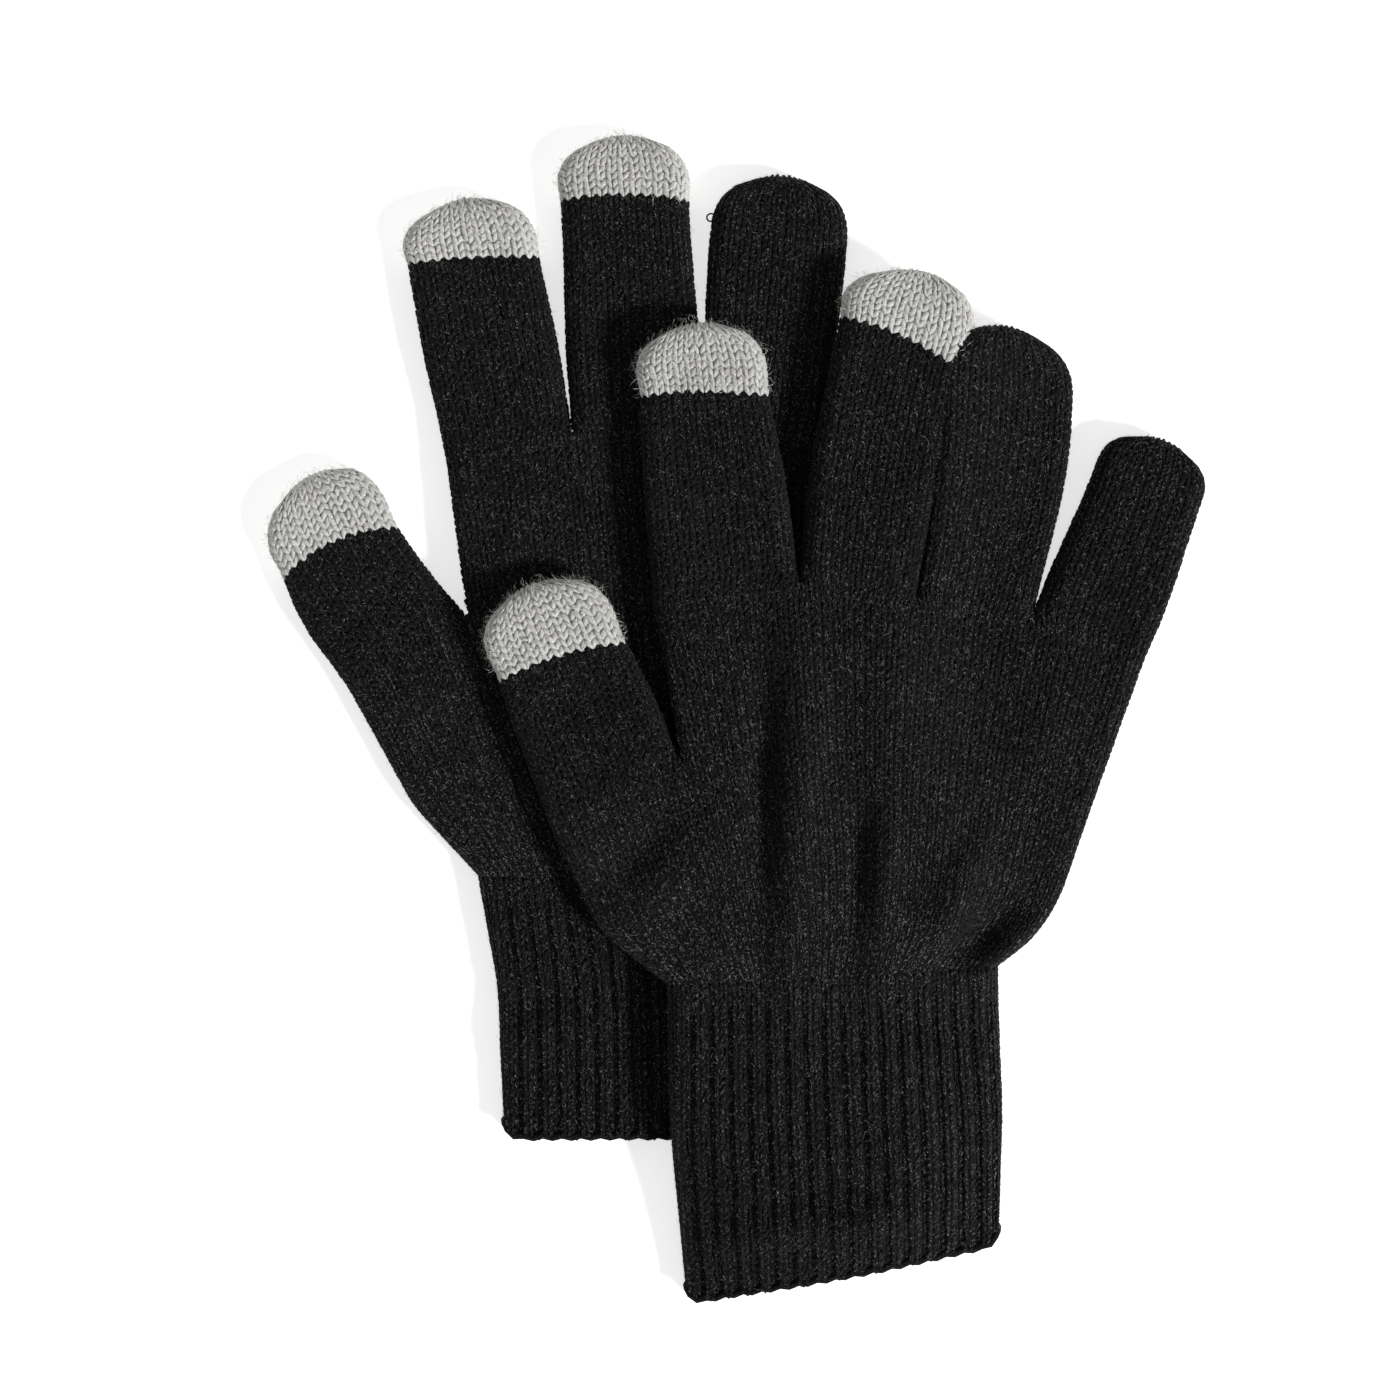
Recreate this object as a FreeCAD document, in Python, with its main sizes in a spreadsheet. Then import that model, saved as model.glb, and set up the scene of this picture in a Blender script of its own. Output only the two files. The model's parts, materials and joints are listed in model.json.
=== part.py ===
import FreeCAD, Part

import math
import os
import re

import Sketcher
from FreeCAD import Placement, Rotation, Vector

# A pair of knitted touchscreen gloves lying flat, the front glove on top of the rear one.
# Frame: +Z up from the table, +Y towards the fingertips, millimetres.

DIGITS = {
    "thumb": ("thumb_edge", "thumb_web"),
    "index": ("index_edge", "index_web"),
    "middle": ("index_web", "middle_web"),
    "ring": ("middle_web", "ring_web"),
    "little": ("ring_web", "little_edge"),
}
TOUCH_DIGITS = ("thumb", "index", "middle")
SLOPED_DIGITS = ("ring", "little")
GLOVES = ("rear", "front")

# Sizes both gloves share.
COMMON = {
    "tube_height": 9.0,
    "knit_wall": 1.6,
    "joint_gap": 0.5,
    "edge_round": 3.0,
    "hem_length": 2.4,
    "elastic_size": 0.4,
    "elastic_clearance": 0.3,
    "run_past": 0.5,
    "band_reach": 150.0,
}

# Length from the root line to the end, and width of the round end.
DIGIT_SIZES = {
    "rear": {"thumb": (43.2, 26.3), "index": (53.7, 26.7), "middle": (63.6, 26.3),
             "ring": (55.2, 27.6), "little": (38.5, 20.2)},
    "front": {"thumb": (49.8, 28.6), "index": (58.9, 26.5), "middle": (69.8, 24.2),
              "ring": (61.1, 20.2), "little": (46.4, 22.7)},
}
TIP_LENGTHS = {
    "rear": {"thumb": 16.4, "index": 14.2, "middle": 13.8},
    "front": {"thumb": 18.3, "index": 16.2, "middle": 15.4},
}

# Corners of each palm, round its outline from the thumb; the webs are the crotches between fingers.
PALM_CORNERS = {
    "rear": {
        "thumb_edge": (-80.8, 4.9), "thumb_web": (-56.3, 19.2), "index_edge": (-60.5, 52.6),
        "index_web": (-34.2, 58.0), "middle_web": (-6.9, 59.5), "ring_web": (18.7, 57.4),
        "little_edge": (37.6, 51.5), "side": (36.8, 23.4), "heel": (30.0, -14.4),
        "wrist_right": (18.3, -38.2), "wrist_left": (-52.1, -40.3), "thumb_base": (-67.2, -22.4),
    },
    "front": {
        "thumb_edge": (-38.2, -23.5), "thumb_web": (-10.7, -11.9), "index_edge": (-16.6, 22.1),
        "index_web": (13.7, 25.9), "middle_web": (37.6, 21.3), "ring_web": (61.3, 17.3),
        "little_edge": (83.2, 8.0), "side": (74.1, -15.5), "heel": (65.3, -39.6),
        "wrist_right": (55.2, -53.9), "wrist_left": (-14.1, -58.1), "thumb_base": (-27.5, -47.6),
    },
}
CUFF_CORNERS = {
    "rear": {"cuff_left": (-50.0, -62.7), "cuff_right": (18.1, -61.6),
             "end_left": (-48.7, -87.5), "end_right": (17.9, -87.5)},
    "front": {"cuff_left": (-13.0, -94.0), "cuff_right": (56.1, -92.0),
              "end_left": (-9.4, -121.0), "end_right": (54.6, -109.2)},
}

# The front glove rests on the rear one; right of its bend line it slopes down towards the table.
DRAPE = {
    "rear": {"lift": 0.0, "slope": 0.0, "bend_x": -6.9},
    "front": {"lift": 9.3, "slope": 9.2, "bend_x": 37.6},
}
ELASTIC_LOOPS = 5

doc = FreeCAD.newDocument("touchscreen_gloves")
sheet = doc.addObject("Spreadsheet::Sheet", "Sheet")
rows = []


def cell(alias, content):
    """Adds one named cell to the sheet."""
    rows.append(alias)
    row = len(rows)
    sheet.set(f"A{row}", alias)
    sheet.set(f"B{row}", str(content))
    sheet.setAlias(f"B{row}", alias)


def fill_sheet():
    """Writes the driving sizes and the sizes worked out from them."""
    for alias, size in COMMON.items():
        cell(alias, size)
    for glove in GLOVES:
        for corner, (x, y) in {**PALM_CORNERS[glove], **CUFF_CORNERS[glove]}.items():
            cell(f"{glove}_{corner}_x", x)
            cell(f"{glove}_{corner}_y", y)
        for name, size in DRAPE[glove].items():
            cell(f"{glove}_{name}", size)
        for digit, (length, width) in DIGIT_SIZES[glove].items():
            start, end = (f"{glove}_{corner}" for corner in DIGITS[digit])
            cell(f"{glove}_{digit}_length", length)
            cell(f"{glove}_{digit}_end_half", f"={width} / 2")
            cell(f"{glove}_{digit}_root_half",
                 f"=sqrt(({end}_x - {start}_x)^2 + ({end}_y - {start}_y)^2) / 2 - joint_gap / 2")
        for digit, length in TIP_LENGTHS[glove].items():
            cell(f"{glove}_{digit}_tip_length", length)
    doc.recompute()


def bind(expression):
    """Points an expression's cell names at the sheet."""
    return re.sub("[a-z_]+", lambda word: f"Sheet.{word[0]}" if word[0] in rows else word[0], expression)


def value(expression):
    """Returns an expression of the sheet's cells as a number."""
    return float(sheet.evalExpression(bind(expression)))


def point(glove, corner):
    """Returns a named corner as a flat vector."""
    return Vector(value(f"{glove}_{corner}_x"), value(f"{glove}_{corner}_y"), 0)


def new_sketch(body, plane, name, offset=Placement()):
    """Attaches an empty sketch to one of the body's own planes."""
    sketch = body.newObject("Sketcher::SketchObject", name)
    face = next(f for f in body.Origin.OriginFeatures if f.Role == plane)
    sketch.AttachmentSupport = (face, [""])
    sketch.MapMode = "FlatFace"
    sketch.AttachmentOffset = offset
    return sketch


def outline(sketch, corners, round_side=None):
    """Draws a closed outline through corners given as expressions; round_side is a half circle."""
    first = sketch.GeometryCount
    places = [Vector(value(x), value(y), 0) for x, y in corners]
    for side, start in enumerate(places):
        end = places[(side + 1) % len(places)]
        if side == round_side:
            across = end - start
            peak = (start + end) / 2 + Vector(across.y, -across.x, 0) / 2
            sketch.addGeometry(Part.Arc(start, peak, end))
        else:
            sketch.addGeometry(Part.LineSegment(start, end))
    for side in range(len(places)):
        following = first + (side + 1) % len(places)
        sketch.addConstraint(Sketcher.Constraint("Coincident", first + side, 2, following, 1))
    for side, place in enumerate(places):
        for axis, size, expression in zip(("X", "Y"), place, corners[side]):
            index = sketch.addConstraint(Sketcher.Constraint(f"Distance{axis}", first + side, 1, size))
            sketch.setExpression(f"Constraints[{index}]", bind(expression))
    if round_side is not None:
        index = sketch.addConstraint(
            Sketcher.Constraint("DistanceY", first + round_side, 3, places[round_side].y))
        sketch.setExpression(f"Constraints[{index}]", bind(corners[round_side][1]))


def new_body(name):
    """Adds a body whose label is its file name."""
    body = doc.addObject("PartDesign::Body", name)
    body.Label = name
    return body


def extrude(body, kind, sketch, length, **settings):
    """Adds a pad or pocket of the sketch with a bound length."""
    feature = body.newObject(f"PartDesign::{kind}", f"{body.Name}_{sketch.Label}_{kind.lower()}")
    feature.Profile = sketch
    for setting, choice in settings.items():
        setattr(feature, setting, choice)
    feature.setExpression("Length", bind(length))
    sketch.Visibility = False
    doc.recompute()
    return feature


def round_long_edges(body, feature, open_ends):
    """Fillets the outer edges that run along a digit, top and bottom."""
    height = value("tube_height")
    names = []
    for number, edge in enumerate(feature.Shape.Edges, 1):
        middle = edge.CenterOfMass
        flat = all(abs(v.Z - middle.z) < 0.01 for v in edge.Vertexes)
        at_face = min(abs(middle.z), abs(middle.z - height)) < 0.01
        at_opening = any(all(abs(v.Y - end) < 0.01 for v in edge.Vertexes) and edge.Curve.TypeId ==
                         "Part::GeomLine" for end in open_ends)
        if flat and at_face and not at_opening:
            names.append(f"Edge{number}")
    fillet = body.newObject("PartDesign::Fillet", f"{body.Name}_round")
    fillet.Base = (feature, names)
    fillet.setExpression("Radius", "Sheet.edge_round")
    doc.recompute()


def glove_frame(glove, sloped):
    """Returns the frame that flat parts of a glove are laid in: level, or on its sloping side."""
    if not sloped:
        return Placement(Vector(0, 0, value(f"{glove}_lift")), Rotation())
    bend = Vector(value(f"{glove}_bend_x"), 0, value(f"{glove}_lift"))
    turn = Rotation(Vector(0, 1, 0), value(f"{glove}_slope"))
    return Placement(bend, turn) * Placement(Vector(-bend.x, 0, 0), Rotation())


def root_placement(glove, digit):
    """Returns where a digit starts: the middle of its root line, +X along it, +Y to its end."""
    start, end = (point(glove, corner) for corner in DIGITS[digit])
    turn = math.degrees(math.atan2(end.y - start.y, end.x - start.x))
    in_glove = Placement((start + end) / 2, Rotation(Vector(0, 0, 1), turn))
    return glove_frame(glove, glove == "front" and digit in SLOPED_DIGITS) * in_glove


def digit_piece(glove, digit, name, start, end, closed):
    """Builds one hollow stretch of a digit, from y = start to y = end or to its round end."""
    key = f"{glove}_{digit}"
    straight = f"({key}_length - {key}_end_half)"
    body = new_body(name)

    def half(along):
        return f"({key}_root_half + ({key}_end_half - {key}_root_half) * ({along}) / {straight})"

    last = straight if closed else end
    outer = [(f"-{half(start)}", start), (half(start), start), (half(last), last), (f"-{half(last)}", last)]
    sketch = new_sketch(body, "XY_Plane", "outer")
    outline(sketch, outer, round_side=2 if closed else None)
    pad = extrude(body, "Pad", sketch, "tube_height")
    round_long_edges(body, pad, [value(start)] + ([] if closed else [value(end)]))

    inner_start = f"{start} - run_past"
    inner_last = straight if closed else f"{end} + run_past"
    inner = [(f"-{half(start)} + knit_wall", inner_start), (f"{half(start)} - knit_wall", inner_start),
             (f"{half(last)} - knit_wall", inner_last), (f"-{half(last)} + knit_wall", inner_last)]
    sketch = new_sketch(body, "XY_Plane", "inner")
    sketch.setExpression("AttachmentOffset.Base.z", bind("tube_height - knit_wall"))
    outline(sketch, inner, round_side=2 if closed else None)
    extrude(body, "Pocket", sketch, "tube_height - 2 * knit_wall")
    body.Placement = root_placement(glove, digit)
    return body


def build_digit(glove, digit):
    """Builds a digit: all black, or a black tube with a conductive cap."""
    name = f"{glove}_{digit}"
    if digit not in TOUCH_DIGITS:
        digit_piece(glove, digit, name, "joint_gap", f"{name}_length", closed=True)
        return
    border = f"({name}_length - {name}_tip_length)"
    digit_piece(glove, digit, name, "joint_gap", border, closed=False)
    digit_piece(glove, digit, f"{name}_tip", border, f"{name}_length", closed=True)


def inset_outline(sketch, corners, insets):
    """Draws an outline whose sides lie at bound distances inside those of another one."""
    places = [Vector(value(x), value(y), 0) for x, y in corners]
    count = len(places)
    directions = [(places[(side + 1) % count] - places[side]).normalize() for side in range(count)]
    inward = [Vector(direction.y, -direction.x, 0) for direction in directions]
    guesses = []
    for side, place in enumerate(places):
        first = place + inward[side - 1] * value(insets[side - 1])
        last = place + inward[side] * value(insets[side])
        along = (last - first).dot(inward[side]) / directions[side - 1].dot(inward[side])
        guesses.append(first + directions[side - 1] * along)
    for group, construction in ((places, True), (guesses, False)):
        for side, start in enumerate(group):
            sketch.addGeometry(Part.LineSegment(start, group[(side + 1) % count]), construction)
    for side in range(count):
        following = (side + 1) % count
        sketch.addConstraint(Sketcher.Constraint("Coincident", side, 2, following, 1))
        sketch.addConstraint(Sketcher.Constraint("Coincident", count + side, 2, count + following, 1))
        for axis, size, expression in zip(("X", "Y"), places[side], corners[side]):
            index = sketch.addConstraint(Sketcher.Constraint(f"Distance{axis}", side, 1, size))
            sketch.setExpression(f"Constraints[{index}]", bind(expression))
        for neighbour in (side, (side - 1) % count):
            distance = abs(value(insets[neighbour]))
            index = sketch.addConstraint(
                Sketcher.Constraint("Distance", count + side, 1, neighbour, distance))
            sketch.setExpression(f"Constraints[{index}]", bind(f"abs({insets[neighbour]})"))


def hand_slab(glove, name, inset, draw_outline):
    """Builds the slab between two bent faces, trimmed to an outline seen from above."""
    body = new_body(name)
    lift, bend = f"{glove}_lift", f"{glove}_bend_x"
    drop = f"(band_reach - {bend}) * tan({glove}_slope)"
    heights = [("-band_reach", lift), (bend, lift), ("band_reach", f"{lift} - {drop}")]
    if value(f"{glove}_slope") == 0:
        heights.pop(1)
    under = [(x, f"{z} + {inset}") for x, z in heights]
    over = [(x, f"{z} + tube_height - {inset}") for x, z in reversed(heights)]
    profile = new_sketch(body, "XZ_Plane", "band")
    outline(profile, under + over)
    extrude(body, "Pad", profile, "2 * band_reach", SideType="Symmetric")

    trim = new_sketch(body, "XY_Plane", "trim")
    draw_outline(trim)
    reach = "2 * band_reach"
    outline(trim, [(f"-{reach}", f"-{reach}"), (reach, f"-{reach}"), (reach, reach), (f"-{reach}", reach)])
    extrude(body, "Pocket", trim, "band_reach", SideType="Symmetric")
    return body


def build_palm(glove):
    """Builds the hand pocket, open to every digit and to the cuff."""
    names = list(PALM_CORNERS[glove])
    corners = [(f"{glove}_{corner}_x", f"{glove}_{corner}_y") for corner in names]
    openings = set(DIGITS.values()) | {("wrist_right", "wrist_left")}
    sides = zip(names, names[1:] + names[:1])
    insets = ["-run_past" if side in openings else "knit_wall" for side in sides]
    palm = hand_slab(glove, f"{glove}_palm", "0 * knit_wall", lambda sketch: outline(sketch, corners))
    room = hand_slab(glove, f"{glove}_hand_room", "knit_wall",
                     lambda sketch: inset_outline(sketch, corners, insets))
    hollow = palm.newObject("PartDesign::Boolean", f"{glove}_palm_hollow")
    hollow.setObjects([room])
    hollow.Type = "Cut"
    doc.recompute()


def cuff_station(glove, share):
    """Returns the cuff's section at a share of its length: both ends, and the underside's three heights."""
    names = ("wrist", "cuff") if share <= 0.5 else ("cuff", "end")
    part = 2 * share if share <= 0.5 else 2 * share - 1
    lift, bend, slope = (f"{glove}_{name}" for name in ("lift", "bend_x", "slope"))

    def mix(side, axis):
        first, last = (f"{glove}_{name}_{side}_{axis}" for name in names)
        return f"({first} + ({last} - {first}) * {part})"

    left = [mix("left", axis) for axis in "xy"]
    right = [mix("right", axis) for axis in "xy"]
    right_lift = f"({lift} - max(0; {right[0]} - {bend}) * tan({slope}))"
    held = 1 if names[0] == "wrist" else 1 - part
    return left, right, [f"{height} * {held}" for height in (lift, lift, right_lift)]


def station_sketch(body, glove, name, share, insets):
    """Draws the cuff's section at a station, one outline for each inset from its outer face."""
    left, right, (low_left, low_bend, low_right) = cuff_station(glove, share)
    turn = f"atan(({right[1]} - {left[1]}) / ({right[0]} - {left[0]}))"
    width = f"sqrt(({right[0]} - {left[0]})^2 + ({right[1]} - {left[1]})^2)"
    fold = f"({glove}_bend_x - {left[0]}) / cos({turn})"
    sketch = new_sketch(body, "XZ_Plane", name, Placement(Vector(), Rotation(Vector(0, 1, 0), 1)))
    sketch.setExpression("AttachmentOffset.Base.x", bind(left[0]))
    sketch.setExpression("AttachmentOffset.Base.z", bind(f"-{left[1]}"))
    sketch.setExpression("AttachmentOffset.Rotation.Angle", bind(turn))
    for inset in insets:
        under = [(inset, f"{low_left} + {inset}"), (fold, f"{low_bend} + {inset}"),
                 (f"{width} - {inset}", f"{low_right} + {inset}")]
        over = [(f"{width} - {inset}", f"{low_right} + tube_height - {inset}"),
                (fold, f"{low_bend} + tube_height - {inset}"), (inset, f"{low_left} + tube_height - {inset}")]
        outline(sketch, under + over)
    doc.recompute()
    return sketch


def loft(body, kind, sketches):
    """Adds or takes away a straight-sided loft through the section sketches."""
    feature = body.newObject(f"PartDesign::{kind}", f"{body.Name}_{kind}")
    feature.Profile = sketches[0]
    feature.Sections = sketches[1:]
    feature.Ruled = True
    doc.recompute()
    return feature


def build_cuff(glove):
    """Builds the ribbed tube, its bound-off hem and the elastic loops inside it."""
    cuff = new_body(f"{glove}_cuff")
    shares = (0, 0.5, 1)
    for kind, inset in (("AdditiveLoft", "0 * knit_wall"), ("SubtractiveLoft", "knit_wall")):
        sketches = [station_sketch(cuff, glove, f"{kind}_{number}", share, [inset])
                    for number, share in enumerate(shares)]
        loft(cuff, kind, sketches)

    hem = new_body(f"{glove}_cuff_hem")
    ring = station_sketch(hem, glove, "ring", 1, ["0 * knit_wall", "knit_wall"])
    extrude(hem, "Pad", ring, "hem_length")

    elastics = new_body(f"{glove}_cuff_elastics")
    outer = "(knit_wall + elastic_clearance)"
    for loop in range(ELASTIC_LOOPS):
        share = (loop + 0.5) / ELASTIC_LOOPS
        ring = station_sketch(elastics, glove, f"loop_{loop}", share, [outer, f"({outer} + elastic_size)"])
        extrude(elastics, "Pad", ring, "elastic_size")


def export_parts():
    """Checks every body and writes it to its own file."""
    os.makedirs("parts", exist_ok=True)
    for body in doc.findObjects("PartDesign::Body"):
        if body.Label.endswith("hand_room"):
            continue
        shape = body.Shape
        faulty = {"Invalid", "Error"} & set(body.State)
        if faulty or shape.isNull() or not shape.isValid():
            raise RuntimeError(f"{body.Label} did not build")
        shape.exportStep(f"parts/{body.Label}.step")


fill_sheet()
for glove in GLOVES:
    build_palm(glove)
    for digit in DIGITS:
        build_digit(glove, digit)
    build_cuff(glove)
doc.recompute()
export_parts()
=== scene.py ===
import json
import math
from collections import namedtuple

import bpy
import numpy as np
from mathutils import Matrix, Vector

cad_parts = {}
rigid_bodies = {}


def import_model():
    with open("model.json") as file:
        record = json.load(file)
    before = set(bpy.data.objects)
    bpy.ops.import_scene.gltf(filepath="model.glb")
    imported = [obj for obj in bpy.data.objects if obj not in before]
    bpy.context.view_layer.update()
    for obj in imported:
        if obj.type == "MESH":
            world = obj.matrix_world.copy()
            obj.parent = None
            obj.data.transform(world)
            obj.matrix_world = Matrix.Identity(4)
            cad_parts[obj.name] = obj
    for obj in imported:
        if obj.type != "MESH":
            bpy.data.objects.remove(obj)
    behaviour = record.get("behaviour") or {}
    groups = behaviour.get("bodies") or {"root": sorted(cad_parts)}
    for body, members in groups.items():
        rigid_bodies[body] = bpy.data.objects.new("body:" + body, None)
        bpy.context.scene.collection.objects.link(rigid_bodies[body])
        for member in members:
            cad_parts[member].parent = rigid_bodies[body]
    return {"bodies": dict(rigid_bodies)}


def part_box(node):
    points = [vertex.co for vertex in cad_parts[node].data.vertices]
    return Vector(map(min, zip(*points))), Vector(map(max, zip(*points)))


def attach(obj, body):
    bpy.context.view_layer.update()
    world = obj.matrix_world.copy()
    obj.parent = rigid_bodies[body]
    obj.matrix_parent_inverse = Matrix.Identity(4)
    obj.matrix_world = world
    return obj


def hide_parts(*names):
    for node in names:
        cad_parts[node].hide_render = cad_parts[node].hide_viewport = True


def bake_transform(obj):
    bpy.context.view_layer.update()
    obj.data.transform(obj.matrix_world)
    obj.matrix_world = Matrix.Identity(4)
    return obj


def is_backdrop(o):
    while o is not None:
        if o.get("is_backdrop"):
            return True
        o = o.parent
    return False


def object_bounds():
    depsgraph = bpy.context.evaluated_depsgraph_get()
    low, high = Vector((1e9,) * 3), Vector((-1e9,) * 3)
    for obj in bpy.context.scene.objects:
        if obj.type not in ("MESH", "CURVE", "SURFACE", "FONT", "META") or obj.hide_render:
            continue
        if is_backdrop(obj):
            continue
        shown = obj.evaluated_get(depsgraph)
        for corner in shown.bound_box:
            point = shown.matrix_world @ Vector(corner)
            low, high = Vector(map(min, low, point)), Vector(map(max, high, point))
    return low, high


# A pair of knitted touchscreen gloves, built stitch by stitch. Each knitted zone is a grid of stitches
# laid on the zone's soft surface: wales run along it and courses across it. Units are metres.

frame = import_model()
cad_low, cad_high = (list(map(float, corner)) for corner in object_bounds())
random = np.random.default_rng(7)

MM = 0.001
table_z = cad_low[2]
tube_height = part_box("rear_palm")[1][2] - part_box("rear_palm")[0][2]
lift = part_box("front_palm")[1][2] - tube_height

# The least length and the least area that anything is divided by.
TINY_LENGTH = 1e-9
TINY_AREA = 1e-12

# The knit: one stitch of the hand and one of the rib, the yarn's thickness and the range in which it follows
# the stitch's width, the slant of a stitch's two legs, how unevenly they are shaped and placed, and half the
# width of a loose fibre. In yarns: how deep the cloth's backing lies under the surface, in the black cloth and
# in the pale caps, and how high above the surface a loose fibre starts.
STITCH_WIDTH = 2.35 * MM
STITCH_LENGTH = 1.6 * MM
RIB_WIDTH = 1.95 * MM
YARN = 0.52 * MM
YARN_RANGE = (0.45, 1.15)
LEG_TURN = math.radians(30)
LEG_SWAY = 0.10
LEG_SHIFT = 0.035
FIBRE_HALF = 0.045 * MM
BACKING_DEPTH = 0.7
CAP_BACKING_DEPTH = 0.42
FIBRE_FOOT = 0.7

# The flat tubes: half their thickness, the gap left under and over them, the radius of their side edges and
# the height of the faint ripple on their upper face.
HALF_THICK = 0.43 * tube_height
STAND_OFF = tube_height / 2 - HALF_THICK
EDGE_ROUND = 3.6 * MM
RIPPLE = 0.25 * MM

# The digits. At the root: how far they reach into the hand, the runs over which their sides part from the
# next digit's and over which they bend, and their extra thickness. Along them: the waviness of their sides.
# At the end: their thickness, the bulge of a pale cap, the share of the width that the round end takes, how
# much it narrows and how far its corners fall back.
OVERLAP = 0.5 * MM
WEB_RUN = 5 * MM
BEND_RUN = 12 * MM
ROOT_EXTRA = 0.07
SIDE_WAVE = 0.3 * MM
END_THICKNESS = 0.93
CAP_BULGE = 0.7 * MM
TIP_SHARE = 0.44
TIP_NARROWING = 0.8
TIP_CROWN = 1.7 * MM

# The cuffs: how far a rib stands out and sinks in, over how many courses and wales that fades, the share of
# the thickness left at the hem, the hem's courses, corner radius and edge thread, and the elastic threads.
RIB_OUT = 0.34 * MM
RIB_IN = -0.42 * MM
RIB_FADE_COURSES = 7
RIB_FADE_WALES = 3
CUFF_THIN = 0.72
HEM_COURSES = 2
HEM_ROUND = 3.2 * MM
HEM_THREAD = 1.5 * MM
ELASTIC_LOOPS = 5
ELASTIC_SIZE = 0.4 * MM

# Loose fibres: how many per stitch, their mean length, how far they stand off and how much they turn about.
Fibres = namedtuple("Fibres", "per_stitch length spread wander")
FLECKS = Fibres(7, 0.55 * MM, 0.1 * MM, 0.2)
FUZZ = Fibres(0.25, 1.5 * MM, 0.7 * MM, 1.2)
CAP_FLECKS = Fibres(2, 1.0 * MM, 0.2 * MM, 0.3)
CAP_FUZZ = Fibres(2.5, 2.2 * MM, 1.4 * MM, 1.2)

# Corners of each hand in millimetres: webs are the crotches between digits, dart is where the thumb's
# own knitting meets the hand at the cuff.
CORNERS = {
    "rear": {
        "thumb_edge": (-81.5, 4.9), "thumb_web": (-56.3, 19.6), "index_edge": (-60.8, 52.8),
        "index_web": (-34.2, 58.0), "middle_web": (-6.9, 59.5), "ring_web": (18.7, 57.4),
        "little_edge": (38.5, 51.5), "side": (37.6, 24.0), "heel": (31.0, -13.0),
        "cuff_right": (18.4, -37.5), "cuff_left": (-54.2, -34.6), "dart": (-36.0, -35.3),
        "thumb_base": (-67.8, -20.0), "hem_left": (-48.8, -90.0), "hem_right": (18.4, -89.6),
        "waist_left": (-50.0, -58.0), "waist_right": (18.6, -62.0),
    },
    "front": {
        "thumb_edge": (-38.6, -23.2), "thumb_web": (-10.6, -11.6), "index_edge": (-16.8, 22.4),
        "index_web": (13.7, 25.9), "middle_web": (37.6, 21.3), "ring_web": (62.4, 18.4),
        "little_edge": (86.0, 9.3), "side": (76.2, -18.0), "heel": (68.6, -40.0),
        "cuff_right": (55.4, -53.6), "cuff_left": (-14.0, -57.0), "dart": (1.5, -56.4),
        "thumb_base": (-28.6, -45.5), "hem_left": (-10.2, -125.0), "hem_right": (55.9, -112.6),
        "waist_left": (-13.4, -88.0), "waist_right": (56.6, -84.0),
    },
}
DIGITS = {
    "thumb": ("thumb_edge", "thumb_web"),
    "index": ("index_edge", "index_web"),
    "middle": ("index_web", "middle_web"),
    "ring": ("middle_web", "ring_web"),
    "little": ("ring_web", "little_edge"),
}
# Of each digit in millimetres: length from the root line, width near the end, length of the pale cap, slant
# (in degrees) and arch of the cap's border, and how far the digit's middle bows to the right.
Digit = namedtuple("Digit", "length width cap slant arch bow")
DIGIT_SIZES = {
    "rear": {
        "thumb": Digit(43.4, 25.8, 14.6, -5.7, 3.0, -2.1),
        "index": Digit(54.3, 27.6, 13.4, -8.3, 0.4, 0),
        "middle": Digit(63.6, 27.2, 12.6, -3.0, 1.3, 0),
        "ring": Digit(55.4, 28.6, 0, 0, 0, 0),
        "little": Digit(38.5, 20.4, 0, 0, 0, 0),
    },
    "front": {
        "thumb": Digit(47.8, 27.0, 15.4, -5.3, 1.4, 0),
        "index": Digit(57.8, 26.4, 14.6, -6.0, 0.9, 0),
        "middle": Digit(70.2, 27.4, 15.0, -13.7, 1.6, -1.6),
        "ring": Digit(61.8, 29.2, 0, 0, 0, 2.2),
        "little": Digit(47.0, 24.0, 0, 0, 0, 0.4),
    },
}


def corner(glove, name):
    """Returns a corner of a glove's outline in metres."""
    return np.array(CORNERS[glove][name]) * MM


def digit_frame(glove, digit):
    """Returns a digit's root centre, its direction and its direction across, seen from above."""
    start, end = (corner(glove, name) for name in DIGITS[digit])
    across = (end - start) / np.linalg.norm(end - start)
    return (start + end) / 2, np.array([-across[1], across[0]]), across


def ease(share):
    """Returns a share from 0 to 1 with soft ends."""
    share = np.clip(share, 0, 1)
    return share * share * (3 - 2 * share)


# The soft lie of the gloves

# The rear hand as thick lines between its corners, with their radii in millimetres.
REAR_BODY = [("thumb_edge", "dart", 11), ("index_edge", "dart", 15), ("index_web", "dart", 25),
             ("middle_web", "cuff_right", 20), ("ring_web", "cuff_right", 14), ("dart", "hem_left", 14),
             ("dart", "hem_right", 16)]


def capsule_distance(x, y, start, end, radius):
    """Returns how far points lie outside a thick line, zero inside it."""
    along = end - start
    share = np.clip(((x - start[0]) * along[0] + (y - start[1]) * along[1]) / (along @ along), 0, 1)
    away = np.hypot(x - start[0] - share * along[0], y - start[1] - share * along[1])
    return np.maximum(away - radius, 0)


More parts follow.
